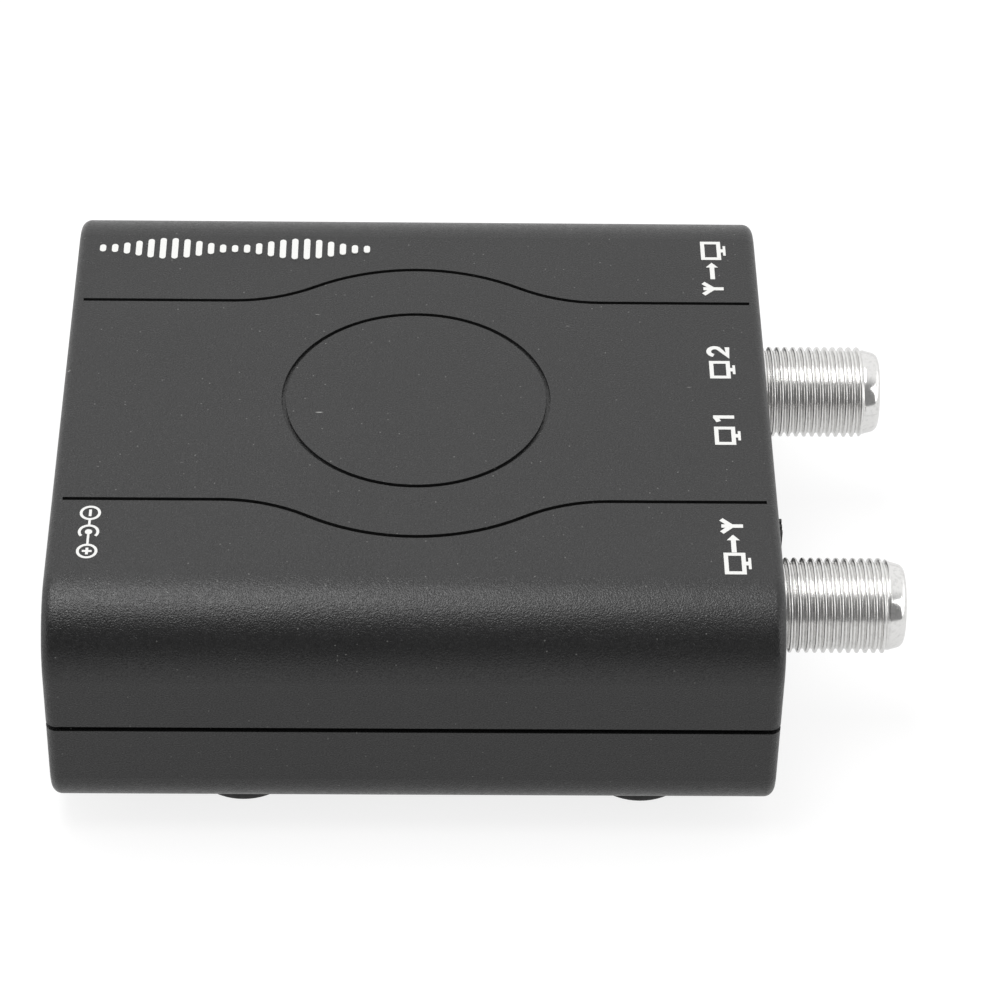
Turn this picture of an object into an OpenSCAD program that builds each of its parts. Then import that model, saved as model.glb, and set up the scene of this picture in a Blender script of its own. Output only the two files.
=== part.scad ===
// RF modulator: a small two-part plastic case with two threaded aerial sockets and a channel
// switch on one end, a power jack on the other end and three phono sockets at the back.
// Frame: X to the socket end, Y to the back, Z up. The origin is on the surface that the feet
// stand on, under the middle of the case.

/* [Case] */
// Width of the case from end to end
case_w = 67.4; // [64:0.2:80]
// Depth of the case from front to back
case_d = 63.6; // [62:0.2:76]
// Height of the case without its feet
case_h = 24.3; // [23:0.1:30]
// Wall thickness of both shells
wall = 1.8; // [1.5:0.1:2]
// Radius of the long top edges at the front and the back
brow_r = 7; // [4:0.5:8]
// Radius of the long bottom edges at the front and the back
sill_r = 5; // [3:0.1:5.2]
// Radius of the edges round the two ends
side_r = 1; // [0.5:0.1:1.3]
// Height of the parting line over the underside
seam_h = 11.4; // [10.9:0.1:12.1]
// Open width of the parting line
seam_gap = 0.55; // [0.2:0.05:0.8]
// Thickness of the bottom shell's tongue
tongue_t = 0.8; // [0.6:0.1:0.9]
// Height of the tongue over the parting line
tongue_h = 1.2; // [0.8:0.1:2]
// Clearance between the tongue and the top shell
shell_fit = 0.1; // [0.05:0.05:0.2]

/* [Grooves in the top] */
// Radius of the round groove
disc_r = 12.6; // [9:0.2:13.4]
// Radius of the arcs that run round it
arc_r = 19.55; // [18:0.05:21]
// Distance of the straight grooves from the middle
line_y = 14.6; // [13.8:0.1:15.4]
// Radius of the bends between the straight grooves and the arcs
blend_r = 15.65; // [12:0.05:18]
// Distance from the end of a straight groove to the end of the case
line_in = 1.1; // [1.1:0.1:3]
// Width of the grooves
groove_w = 0.42; // [0.3:0.02:0.8]
// Depth of the grooves
groove_depth = 0.35; // [0.2:0.05:0.6]

/* [Feet] */
// Radius of a rubber foot
foot_r = 5.2; // [3:0.1:5.5]
// Height of a rubber foot
foot_h = 2.4; // [1.5:0.1:4]
// Radius of a foot's lower edge
foot_edge_r = 0.6; // [0.2:0.1:1]
// Distance from the power end to the middle of the feet there
foot_from_power = 17.6; // [15:0.1:22]
// Distance from the socket end to the middle of the feet there
foot_from_sockets = 12.3; // [12.2:0.1:18]
// Distance from the front or back face to the edge of a foot
foot_in = 4.2; // [3:0.1:6]

/* [Aerial sockets] */
// Distance between the two socket axes
rf_pitch = 31.2; // [30:0.2:32]
// Space between a socket's flange and the board
rf_lift = 0.2; // [0.1:0.05:0.8]
// Outer radius of the thread
thread_r = 4.5; // [4.4:0.05:4.8]
// Radius of the plain neck in the case wall
neck_r = 4.2; // [4:0.05:4.5]
// Length of a socket outside the case
rf_out_l = 12.6; // [11:0.1:16]
// Length of the rounded nose
nose_l = 1.6; // [1.4:0.1:2.4]
// Radius of the nose where it starts
nose_start_r = 4.2; // [4.1:0.05:4.4]
// Radius of the nose's rounded edge
nose_edge_r = 1.1; // [0.6:0.1:1.2]
// Radius of the bore that holds the insulator
rf_bore_r = 3; // [2.9:0.05:3.05]
// Radius of the flange behind the case wall
flange_r = 5.3; // [5:0.05:5.4]
// Thickness of the flange
flange_t = 1.5; // [1:0.1:2]
// Outer radius of the centre contact
rf_contact_r = 1.25; // [1:0.05:1.4]
// Bore radius of the centre contact
rf_contact_bore_r = 0.65; // [0.5:0.05:0.7]
// Depth of the centre contact's bore
rf_contact_depth = 8; // [6:0.5:10]

/* [Channel switch] */
// Place of the switch's slot along the end, from the middle
switch_y = -1; // [-2:0.1:0]
// How far the knob's axis sits over the middle of its slider
switch_lift = 0.5; // [0.3:0.05:0.6]
// Width of the knob along its travel
knob_w = 2; // [1.6:0.1:2.4]
// Height of the knob
knob_h = 2; // [1.6:0.1:2]
// Length of the knob outside the case
knob_out = 2; // [1.5:0.1:3]
// Distance between the knob's two places
switch_travel = 2; // [1.5:0.1:2.2]
// Clearance between the knob and its slot
slot_clear = 0.25; // [0.2:0.05:0.3]

/* [Power jack] */
// Space between the jack and the screw column at the front
jack_gap = 0.5; // [0.4:0.1:3]
// Width of the jack
jack_w = 9; // [8.8:0.1:9]
// Height of the jack
jack_h = 11; // [10.6:0.1:11.2]
// Length of the jack
jack_l = 14; // [13:0.1:14.4]
// Height of the jack's axis over the board
jack_axis_h = 6.5; // [6.2:0.1:6.6]
// Radius of the jack's hole
jack_hole_r = 3.15; // [3:0.05:3.2]
// Depth of the jack's hole
jack_depth = 9.5; // [9:0.1:10]
// Radius of the jack's centre pin
jack_pin_r = 1.05; // [0.95:0.05:1.25]

/* [Phono sockets] */
// Distance between neighbouring phono sockets
av_pitch = 12.5; // [12:0.1:12.6]
// Space between the sockets' body and the screw column at the back
av_gap = 1.05; // [0.6:0.05:2]
// Space between a sleeve and the board
av_lift = 0.55; // [0.3:0.05:0.8]
// Outer radius of a socket's sleeve
sleeve_r = 4.15; // [4.1:0.05:4.2]
// Wall thickness of a socket's sleeve
sleeve_t = 0.65; // [0.5:0.05:0.8]
// Length of a sleeve outside the case
sleeve_out = 6.5; // [5.5:0.1:8]
// Outer radius of a coloured collar
collar_r = 5.3; // [5.1:0.05:5.4]
// Length of a collar outside the case
collar_out = 0.5; // [0.3:0.1:1]
// Bore radius of a socket's centre contact
av_contact_bore_r = 1.65; // [1.6:0.05:1.7]
// Outer radius of a socket's centre contact
av_contact_r = 2.2; // [2.1:0.05:2.3]
// Depth of the body behind the sockets
av_block_d = 7.2; // [6.5:0.1:9]

/* [Board] */
// Thickness of the circuit board
board_t = 1.6; // [1.4:0.1:1.6]
// Space between the case floor and the board
board_gap = 3.3; // [2.6:0.1:3.8]
// Clearance between the board and the case walls
board_clear = 0.6; // [0.4:0.05:0.8]

/* [Shielding can] */
// Distance from the case wall to the can
can_in = 6.2; // [6.1:0.1:6.5]
// Width of the can
can_w = 12; // [10:0.2:12]
// How far the can's walls reach past the sockets' flanges
can_margin = 0.5; // [0.3:0.1:1.5]
// Thickness of the can's tin plate
tin_t = 0.4; // [0.3:0.05:0.5]

/* [Screws] */
// Distance from the case screws to the ends of the case
screw_in_x = 4.6; // [4.5:0.05:4.7]
// Distance from the case screws to the front and back faces
screw_in_y = 5.4; // [5.2:0.1:5.5]
// Radius of the case screws' shanks
screw_r = 1.1; // [0.9:0.05:1.2]
// Length of the case screws under the head
screw_l = 10; // [8:0.5:12]
// Radius of the screw columns in the top shell
column_r = 2.1; // [1.9:0.05:2.15]

/* [Hidden] */
$fn = 64;

// overrun of every cut, and the running and assembly clearances
over = 1;
slip = 0.05;
hole_fit = 0.15;
rest_gap = 0.3;

// levels over the surface that the feet stand on
floor_z = foot_h + wall;
board_z = floor_z + board_gap;
deck_z = board_z + board_t;
seam_z = foot_h + seam_h;
roof_z = foot_h + case_h - wall;
top_z = foot_h + case_h;
rf_z = deck_z + flange_r + rf_lift;
jack_z = deck_z + jack_axis_h;

// inner faces of the walls
in_x = case_w / 2 - wall;
in_y = case_d / 2 - wall;

// aerial sockets along X
can_x1 = in_x - can_in;
can_x0 = can_x1 - can_w;
can_d = rf_pitch + 2 * (flange_r + can_margin);
can_h = rf_z + flange_r + can_margin - deck_z;
neck_gap = 0.15;
nose_x = case_w / 2 + rf_out_l - nose_l;
rf_tip_x = case_w / 2 + rf_out_l;
insulator_recess = 0.8;
insulator_lip = 1.4;
mouth_step = 0.2;
insulator_hole_r = rf_contact_bore_r + mouth_step;
contact_tail_r = 0.4;
contact_tail_l = 4;
can_hole_r = 2;

// channel switch
slider_l = 5.6;
slider_t = 1.5;
slider_h = 3.6;
switch_z = deck_z + slider_h / 2 + switch_lift;
frame_t = 0.3;
frame_w = slider_l + switch_travel + 2 * frame_t + 2 * slot_clear;
frame_h = slider_h + frame_t + slip;
frame_x1 = in_x - rest_gap - slip;
slider_x1 = frame_x1 - frame_t - slip;
slider_x0 = slider_x1 - slider_t;
wiper_t = 0.2;
wiper_w = 3;
wiper_h = 1.2;
base_t = 1.3;
base_x1 = slider_x0 - wiper_t - slip;
base_x0 = base_x1 - base_t;
terminal_r = 0.35;
terminal_pitch = 2.5;
lead_fit = 0.15;
lead_out = 0.3;
rib_w = 0.4;
rib_depth = 0.35;
rib_place_share = 0.2;
knob_y = switch_y - switch_travel / 2;

// power jack
jack_y = screw_in_y + column_r + jack_gap + jack_w / 2 - case_d / 2;
jack_recess = 0.1;
jack_x0 = jack_recess - case_w / 2;
jack_front_t = 3;
jack_chamfer = 2.2;
jack_side_in = 0.4;
shank_r = 1.3;
rivet_r = 2;
rivet_t = 0.4;
pin_recess = 1;
pin_tip = 0.4;
pin_tip_r = 0.7;
spring_w = 2.4;
spring_t = 0.3;
spring_drop = 0.6;
lug_w = 1.6;

// phono sockets
av_sockets = 3;
av_x = screw_in_x + column_r + av_gap + av_sockets * av_pitch / 2 - case_w / 2;
sleeve_step = 0.2;
sleeve_root_r = sleeve_r - sleeve_step;
sleeve_bore_r = sleeve_r - sleeve_t;
av_z = deck_z + sleeve_root_r + av_lift;
av_block_top = 0.95;
av_block_h = av_z + sleeve_root_r + av_block_top - deck_z;
av_back_y = in_y - rest_gap;
av_front_y = av_back_y - av_block_d;
av_tip_y = case_d / 2 + sleeve_out;
collar_tip_y = case_d / 2 + collar_out;
sleeve_root_l = 5;
sleeve_chamfer = 0.3;
core_recess = 0.6;
core_lip = 1.2;
core_hole_r = av_contact_bore_r + mouth_step;
av_contact_depth = 9;
av_chamfer = 1.2;
av_peg_r = 0.9;

// board and screws
board_w = case_w - 2 * wall - 2 * board_clear;
board_d = case_d - 2 * wall - 2 * board_clear;
screw_x = case_w / 2 - screw_in_x;
screw_y = case_d / 2 - screw_in_y;
head_r = 2;
head_h = 1.5;
head_sink = 0.5;
post_r = 2.9;
post_clear = 0.3;
post_top = board_z + board_t / 2;
column_root_share = 0.25;
pilot_l = screw_l + over;
slot_w = 0.5;
slot_depth = 0.5;
board_screw_in = 3.8;
board_screw_r = 1.1;
board_screw_bite = 3;
board_post_r = 2.3;
board_head_r = 2.1;
board_head_h = 1.3;

// parts on the board, each placed a part_gap from its neighbours
part_gap = 1;
cap_r = 3.15;
cap_h = 10;
cap_base_h = 1.2;
cap_waist_r = 2.9;
cap_waist_h = 0.8;
cap_x = cap_r + part_gap - board_w / 2;
cap_y = jack_y + jack_w / 2 + part_gap + cap_r;
input_cap_x = jack_x0 + jack_l + rivet_t + part_gap + cap_r;
cap_places = [[cap_x, cap_y], [cap_x, cap_y + 2 * cap_r + part_gap], [input_cap_x, jack_y]];
regulator_w = 6.5;
regulator_d = 6;
regulator_h = 2.3;
regulator_tab_d = 1.6;
regulator_tab_t = 0.9;
regulator_tab_share = 0.8;
regulator_leg_share = 0.35;
regulator_leg_w = 0.9;
regulator_leg_l = 2.4;
regulator_x = cap_x + cap_r + part_gap + regulator_w / 2;
regulator_y = jack_y + cap_r + part_gap + regulator_leg_l + regulator_d / 2;
diodes = 4;
diode_w = 4.3;
diode_d = 2.6;
diode_h = 2.1;
diode_lead_w = 1.4;
diode_lead_t = 0.4;
diode_lead_l = 0.6;
diode_x = input_cap_x + cap_r + part_gap + diode_lead_l + diode_w / 2;
diode_step = diode_d + part_gap;
ceramics = 3;
ceramic_w = 1.3;
ceramic_d = 2;
ceramic_h = 1.2;
ceramic_x = diode_x + diode_w / 2 + diode_lead_l + part_gap + ceramic_w / 2;
chip_w = 10.3;
chip_d = 7.5;
chip_h = 2.3;
chip_rise = 0.2;
chip_leads = 8;
chip_pitch = 1.27;
chip_lead_w = 0.42;
chip_lead_t = 0.3;
chip_lead_l = 1.4;
chip_mark_r = 0.6;
chip_mark_depth = 0.15;
chip_x = regulator_x + regulator_w / 2 + part_gap + chip_w / 2;
chip_y = jack_y + diodes / 2 * diode_step + part_gap / 2 + chip_lead_l + chip_d / 2;
resistors = 5;
resistor_w = 3.1;
resistor_d = 1.6;
resistor_h = 0.6;
resistor_x = board_screw_in + board_head_r + part_gap + resistor_w / 2 - board_w / 2;
resistor_y = av_front_y - part_gap - resistor_d / 2;
coils = 2;
coil_w = 7;
coil_h = 8.5;
coil_t = 0.4;
coil_hole_r = 2.2;
slug_r = 1.8;
slug_h = 5;
former_r = 2.9;
coil_x = can_x0 - part_gap - coil_w / 2;
coil_y = resistor_y - resistor_d / 2 - part_gap - coil_w / 2;
crystal_w = 11;
crystal_d = 4.5;
crystal_h = 3.5;
crystal_foot = 0.5;
crystal_foot_t = 0.5;
crystal_y = resistor_y - resistor_d / 2 - part_gap - crystal_foot - crystal_d / 2;
board_screw_places = [
    [can_x0 - part_gap - board_head_r, board_screw_in - board_d / 2],
    [board_screw_in - board_w / 2, resistor_y]];

// Outline of a bar with its two upper corners rounded
module bar_outline(w, h, r) {
    translate([-w / 2, 0]) square([w, h - r]);
    translate([r - w / 2, 0]) square([w - 2 * r, h]);
    for (s = [0, 1]) mirror([s, 0]) translate([w / 2 - r, h - r])
        intersection() { circle(r); square(r); }
}

// The same outline lying on its side, its rounded corners away from the turning axis
module turned_outline(w, h, r) {
    translate([0, -w / 2]) square([h - r, w]);
    translate([0, r - w / 2]) square([h, w - 2 * r]);
    for (s = [0, 1]) mirror([0, s]) translate([h - r, w / 2 - r])
        intersection() { circle(r); square(r); }
}

// Outline of the case from above
module plan_outline(w, d, r) {
    square([w, d - 2 * r], center = true);
    square([w - 2 * r, d], center = true);
    for (x = [-1, 1], y = [-1, 1]) translate([x * (w / 2 - r), y * (d / 2 - r)]) circle(r);
}

// Half of the case's form: upright walls, and over them long edges of radius long_r at the
// front and the back, whose rounded ends follow the bend
module half_form(w, d, h, long_r, edge_r) {
    run = d / 2 - long_r;
    linear_extrude(h - long_r) plan_outline(w, d, edge_r);
    translate([0, run, h - long_r]) rotate([90, 0, 0])
        linear_extrude(2 * run) bar_outline(w, long_r, edge_r);
    for (s = [0, 1]) mirror([0, s, 0]) translate([0, run, h - long_r]) rotate([90, 0, 90])
        rotate_extrude(angle = 90) turned_outline(w, long_r, edge_r);
}

// Room inside a half: the same form with square ends
module half_room(h, long_r) {
    run = in_y - long_r;
    translate([-in_x, -in_y, 0]) cube([2 * in_x, 2 * in_y, h - long_r]);
    translate([-in_x, -run, 0]) cube([2 * in_x, 2 * run, h]);
    for (s = [0, 1]) mirror([0, s, 0]) translate([-in_x, run, h - long_r]) rotate([90, 0, 90])
        rotate_extrude(angle = 90) square([long_r, 2 * in_x]);
}

// A ring's groove, or part of one, sunk into the top
module groove_arc(r, turn) {
    translate([0, 0, top_z - groove_depth]) rotate_extrude(angle = turn)
        translate([r - groove_w / 2, 0]) square([groove_w, groove_depth + over]);
}

// The round groove, and the pair of lines that bend round it
module grooves() {
    bend_x = sqrt(pow(arc_r + blend_r, 2) - pow(line_y + blend_r, 2));
    turn = atan2(bend_x, line_y + blend_r);
    line_l = case_w / 2 - line_in - bend_x;
    groove_arc(disc_r, 360);
    for (s = [0, 1]) mirror([0, s, 0]) {
        rotate(90 - turn) groove_arc(arc_r, 2 * turn);
        for (m = [0, 1]) mirror([m, 0, 0]) {
            translate([bend_x, line_y + blend_r, 0]) rotate(-90 - turn)
                groove_arc(blend_r, turn);
            translate([bend_x, line_y - groove_w / 2, top_z - groove_depth])
                cube([line_l, groove_w, groove_depth + over]);
        }
    }
}

// Round hole through an end wall, along X
module end_hole(y, z, r) {
    translate([in_x - over, y, z]) rotate([0, 90, 0]) cylinder(h = wall + 2 * over, r = r);
}

// Round hole through the back wall, along Y
module back_hole(x, z, r) {
    translate([x, in_y - over, z]) rotate([-90, 0, 0]) cylinder(h = wall + 2 * over, r = r);
}

// The openings that both shells share along the parting line
module wall_openings() {
    for (s = [-1, 1]) end_hole(s * rf_pitch / 2, rf_z, neck_r + hole_fit);
    for (i = [-1, 0, 1]) back_hole(av_x + i * av_pitch, av_z, collar_r + hole_fit);
    translate([-case_w / 2 - over, jack_y - jack_w / 2 - hole_fit, deck_z - hole_fit])
        cube([wall + 2 * over, jack_w + 2 * hole_fit, jack_h + 2 * hole_fit]);
}

// Width and edges of the notch that the switch knob slides in
notch_w = knob_w + switch_travel + 2 * slot_clear;
notch_z0 = switch_z - knob_h / 2 - slot_clear;
notch_z1 = switch_z + knob_h / 2 + slot_clear;

module at_case_screws() {
    for (x = [-1, 1], y = [-1, 1]) translate([x * screw_x, y * screw_y, 0]) children();
}

module at_board_screws() {
    for (s = board_screw_places) translate([s[0], s[1], 0]) children();
}

// Upper half of the case, with its screw columns and the tab that closes the switch notch
module top_shell() color([0.3, 0.3, 0.3]) {
    rebate_x = in_x + tongue_t + shell_fit;
    rebate_y = in_y + tongue_t + shell_fit;
    difference() {
        union() {
            difference() {
                translate([0, 0, seam_z + seam_gap / 2])
                    half_form(case_w, case_d, case_h - seam_h - seam_gap / 2, brow_r, side_r);
                translate([0, 0, seam_z]) half_room(roof_z - seam_z, brow_r - wall);
                translate([-rebate_x, -rebate_y, seam_z])
                    cube([2 * rebate_x, 2 * rebate_y, seam_gap / 2 + tongue_h]);
            }
            at_case_screws() translate([0, 0, post_top])
                cylinder(h = roof_z + wall * column_root_share - post_top, r = column_r);
            translate([in_x, switch_y - notch_w / 2 + slip, notch_z1])
                cube([wall, notch_w - 2 * slip, seam_z + seam_gap / 2 + tongue_h - notch_z1]);
        }
        wall_openings();
        grooves();
        at_case_screws() translate([0, 0, post_top - over])
            cylinder(h = pilot_l, r = screw_r + slip);
    }
}

// Lower half of the case, with its tongue, screw posts and board posts
module bottom_shell() color([0.27, 0.27, 0.27]) {
    room_top = seam_z + seam_gap / 2 + tongue_h + over;
    difference() {
        union() {
            difference() {
                union() {
                    translate([0, 0, seam_z - seam_gap / 2]) rotate([180, 0, 0])
                        half_form(case_w, case_d, seam_h - seam_gap / 2, sill_r, side_r);
                    translate([-in_x - tongue_t, -in_y - tongue_t, seam_z - wall])
                        cube([2 * (in_x + tongue_t), 2 * (in_y + tongue_t),
                            wall + seam_gap / 2 + tongue_h]);
                }
                translate([0, 0, room_top]) rotate([180, 0, 0])
                    half_room(room_top - floor_z, sill_r - wall);
            }
            at_case_screws() translate([0, 0, floor_z - wall / 2])
                cylinder(h = post_top - floor_z + wall / 2, r = post_r);
            at_board_screws() translate([0, 0, floor_z - wall / 2])
                cylinder(h = board_gap + wall / 2, r = board_post_r);
        }
        wall_openings();
        translate([in_x - over, switch_y - notch_w / 2, notch_z0])
            cube([wall + 2 * over, notch_w, case_h]);
        at_case_screws() {
            translate([0, 0, foot_h - over]) cylinder(h = over + head_sink + head_h, r = head_r + hole_fit);
            cylinder(h = case_h, r = screw_r + hole_fit);
        }
        at_board_screws() translate([0, 0, board_z - board_screw_bite])
            cylinder(h = case_h, r = board_screw_r + slip);
    }
}

// Four stuck-on feet
module rubber_feet() color([0.12, 0.12, 0.12]) {
    y = case_d / 2 - foot_in - foot_r;
    for (x = [foot_from_power - case_w / 2, case_w / 2 - foot_from_sockets], s = [-1, 1])
        translate([x, s * y, 0])
        rotate_extrude() {
            square([foot_r - foot_edge_r, foot_h]);
            translate([0, foot_edge_r]) square([foot_r, foot_h - foot_edge_r]);
            translate([foot_r - foot_edge_r, foot_edge_r]) mirror([0, 1])
                intersection() { circle(foot_edge_r); square(foot_edge_r); }
        }
}

// A screw that points up, with a cross slot in its head's lower face at zero
module screw_up(r, l, hr, hh) {
    difference() {
        cylinder(h = hh, r = hr);
        for (a = [0, 90]) rotate(a) translate([-hr / 2, -slot_w / 2, -over])
            cube([hr, slot_w, over + slot_depth]);
    }
    translate([0, 0, hh]) cylinder(h = l, r = r);
}

module case_screws() color("silver") {
    at_case_screws() translate([0, 0, foot_h + head_sink]) screw_up(screw_r, screw_l, head_r, head_h);
}

module board_screws() color("silver") {
    at_board_screws() translate([0, 0, deck_z + board_head_h]) rotate([180, 0, 0])
        screw_up(board_screw_r, board_t + board_screw_bite - slip, board_head_r, board_head_h);
}

// Circuit board with its corners cut clear of the screw posts, and its holes
module main_board() color("darkgreen") {
    cut_x = screw_x - post_r - post_clear;
    cut_y = screw_y - post_r - post_clear;
    difference() {
        translate([-board_w / 2, -board_d / 2, board_z]) cube([board_w, board_d, board_t]);
        for (x = [0, 1], y = [0, 1]) mirror([x, 0, 0]) mirror([0, y, 0])
            translate([cut_x, cut_y, board_z - over]) cube([board_w, board_d, board_t + 2 * over]);
        at_board_screws() translate([0, 0, board_z - over])
            cylinder(h = board_t + 2 * over, r = board_screw_r + hole_fit);
        at_terminals() translate([0, 0, board_z - over])
            cylinder(h = board_t + 2 * over, r = terminal_r + lead_fit);
        at_av_pegs() translate([0, 0, board_z - over])
            cylinder(h = board_t + 2 * over, r = av_peg_r + lead_fit);
    }
}

module at_terminals() {
    for (i = [-1, 0, 1]) translate([(base_x0 + base_x1) / 2, switch_y + i * terminal_pitch, 0])
        children();
}

module at_av_pegs() {
    for (i = [-1, 1]) translate([av_x + i * av_pitch / 2, av_front_y + av_block_d / 2, 0]) children();
}

// Tin-plate frame soldered round the tuner
module rf_can_frame() color("silver") {
    difference() {
        translate([can_x0, -can_d / 2, deck_z]) cube([can_w, can_d, can_h]);
        translate([can_x0 + tin_t, tin_t - can_d / 2, deck_z - over])
            cube([can_w - 2 * tin_t, can_d - 2 * tin_t, can_h + 2 * over]);
        for (s = [-1, 1]) translate([can_x1 - over, s * rf_pitch / 2, rf_z]) rotate([0, 90, 0])
            cylinder(h = 2 * over, r = can_hole_r);
    }
}

// Wall across the can that keeps the input away from the output
module rf_can_partition() color("silver") {
    translate([can_x0 + tin_t + slip, -tin_t / 2, deck_z])
        cube([can_w - 2 * tin_t - 2 * slip, tin_t, can_h - slip]);
}

// Lid with a short skirt outside the frame
module rf_can_lid() color("lightgray") {
    skirt = tin_t + slip;
    difference() {
        translate([can_x0 - skirt, -can_d / 2 - skirt, deck_z + can_h - tin_t])
            cube([can_w + 2 * skirt, can_d + 2 * skirt, 2 * tin_t]);
        translate([can_x0 - slip, -can_d / 2 - slip, deck_z + can_h - over])
            cube([can_w + 2 * slip, can_d + 2 * slip, over]);
    }
}

// Turns what stands on Z so that it points out of the socket end, from the can's wall
module rf_place(side) {
    translate([can_x1, side * rf_pitch / 2, rf_z]) rotate([0, 90, 0]) children();
}

// Socket body: flange, neck in the case wall, thread land and rounded nose
module rf_barrel(side) color("silver") {
    neck_l = case_w / 2 + neck_gap - can_x1;
    nose_at = nose_x - can_x1;
    tip_at = rf_tip_x - can_x1;
    rf_place(side) difference() {
        union() {
            cylinder(h = flange_t, r = flange_r);
            cylinder(h = neck_l, r = neck_r);
            translate([0, 0, neck_l]) cylinder(h = nose_at - neck_l, r = thread_r);
            translate([0, 0, nose_at]) rotate_extrude() {
                square([nose_start_r, nose_l - nose_edge_r]);
                square([nose_start_r - nose_edge_r, nose_l]);
                translate([nose_start_r - nose_edge_r, nose_l - nose_edge_r])
                    intersection() { circle(nose_edge_r); square(nose_edge_r); }
            }
        }
        translate([0, 0, -over]) cylinder(h = tip_at + 2 * over, r = rf_bore_r);
    }
}

// White insulator, with a narrow hole in its face and the contact's room behind it
module rf_insulator(side) color("white") {
    face_at = rf_tip_x - insulator_recess - can_x1;
    rf_place(side) difference() {
        cylinder(h = face_at, r = rf_bore_r - slip);
        translate([0, 0, -over]) cylinder(h = face_at + 2 * over, r = insulator_hole_r);
        translate([0, 0, -over]) cylinder(h = face_at - insulator_lip + over, r = rf_contact_r + slip);
    }
}

// Centre contact with its bore, and the tail that reaches into the can
module rf_contact(side) color("gold") {
    front_at = rf_tip_x - insulator_recess - insulator_lip - slip - can_x1;
    rf_place(side) difference() {
        union() {
            cylinder(h = front_at, r = rf_contact_r);
            translate([0, 0, -contact_tail_l]) cylinder(h = contact_tail_l, r = contact_tail_r);
        }
        translate([0, 0, front_at - rf_contact_depth]) cylinder(h = rf_contact_depth + over,
            r = rf_contact_bore_r);
    }
}

module rf_out_barrel() rf_barrel(1);
module rf_out_insulator() rf_insulator(1);
module rf_out_contact() rf_contact(1);
module rf_in_barrel() rf_barrel(-1);
module rf_in_insulator() rf_insulator(-1);
module rf_in_contact() rf_contact(-1);

// Folded metal frame of the slide switch, open at its back, with a slot for the knob
module channel_switch_frame() color("silver") {
    difference() {
        translate([base_x0, switch_y - frame_w / 2, deck_z])
            cube([frame_x1 - base_x0, frame_w, frame_h]);
        translate([base_x0 - over, switch_y - frame_w / 2 + frame_t, deck_z - over])
            cube([frame_x1 - frame_t - base_x0 + over, frame_w - 2 * frame_t, frame_h - frame_t + over]);
        translate([in_x - wall - over, switch_y - notch_w / 2, notch_z0])
            cube([wall + over, notch_w, notch_z1 - notch_z0]);
    }
}

// Brown base with the fixed contacts
module channel_switch_base() color("saddlebrown") {
    translate([base_x0, switch_y - frame_w / 2 + frame_t + slip, deck_z])
        cube([base_t, frame_w - 2 * frame_t - 2 * slip, frame_h - frame_t - slip]);
}

module channel_switch_terminals() color("gold") {
    at_terminals() translate([0, 0, board_z - lead_out])
        cylinder(h = board_t + lead_out, r = terminal_r);
}

// Slider with its ribbed knob, in the place nearer the input socket
module channel_switch_knob() color([0.1, 0.1, 0.1]) {
    tip_x = case_w / 2 + knob_out;
    translate([slider_x0, knob_y - slider_l / 2, deck_z + slip])
        cube([slider_t, slider_l, slider_h - slip]);
    difference() {
        translate([slider_x1 - slider_t / 2, knob_y - knob_w / 2, switch_z - knob_h / 2])
            cube([tip_x - slider_x1 + slider_t / 2, knob_w, knob_h]);
        for (i = [-1, 1]) translate([tip_x - rib_depth, knob_y + i * knob_w * rib_place_share - rib_w / 2,
                switch_z - knob_h / 2 - over])
            cube([rib_depth + over, rib_w, knob_h + 2 * over]);
    }
}

// Contact plate on the back of the slider
module channel_switch_wiper() color("gold") {
    translate([slider_x0 - wiper_t, knob_y - wiper_w / 2, deck_z + (slider_h - wiper_h) / 2])
        cube([wiper_t, wiper_w, wiper_h]);
}

// Outline of a moulded body on the board, with its upper corners cut off
module jack_outline(w, h, c) {
    polygon([[-w / 2, 0], [w / 2, 0], [w / 2, h - c], [w / 2 - c, h], [c - w / 2, h], [-w / 2, h - c]]);
}

// Power jack: square front, slimmer body behind it, the plug's hole and the spring's channel
module dc_jack_housing() color([0.13, 0.13, 0.13]) {
    difference() {
        union() {
            translate([jack_x0, jack_y - jack_w / 2, deck_z]) cube([jack_front_t, jack_w, jack_h]);
            translate([jack_x0 + jack_front_t, jack_y, deck_z]) rotate([90, 0, 90])
                linear_extrude(jack_l - jack_front_t)
                    jack_outline(jack_w - 2 * jack_side_in, jack_h - jack_side_in, jack_chamfer);
        }
        translate([jack_x0 - over, jack_y, jack_z]) rotate([0, 90, 0])
            cylinder(h = jack_depth + over, r = jack_hole_r);
        translate([jack_x0, jack_y, jack_z]) rotate([0, 90, 0])
            cylinder(h = jack_l + over, r = shank_r + slip);
        translate([jack_x0 + jack_front_t, jack_y - spring_w / 2 - slip,
                jack_z - jack_hole_r - spring_drop - spring_t - slip])
            cube([jack_l, spring_w + 2 * slip, jack_hole_r + spring_drop + spring_t + slip]);
    }
}

// Centre pin with its riveted end and its lug
module dc_jack_pin() color("silver") {
    pin_l = jack_depth - pin_recess;
    translate([jack_x0 + jack_depth, jack_y, jack_z]) rotate([0, -90, 0]) {
        cylinder(h = pin_l - pin_tip, r = jack_pin_r);
        translate([0, 0, pin_l - pin_tip]) cylinder(h = pin_tip, r1 = jack_pin_r, r2 = pin_tip_r);
    }
    translate([jack_x0 + jack_depth, jack_y, jack_z]) rotate([0, 90, 0]) {
        cylinder(h = jack_l - jack_depth + rivet_t, r = shank_r);
        translate([0, 0, jack_l - jack_depth]) cylinder(h = rivet_t, r = rivet_r);
    }
    translate([jack_x0 + jack_l, jack_y - lug_w / 2, deck_z])
        cube([rivet_t, lug_w, jack_axis_h]);
}

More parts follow.
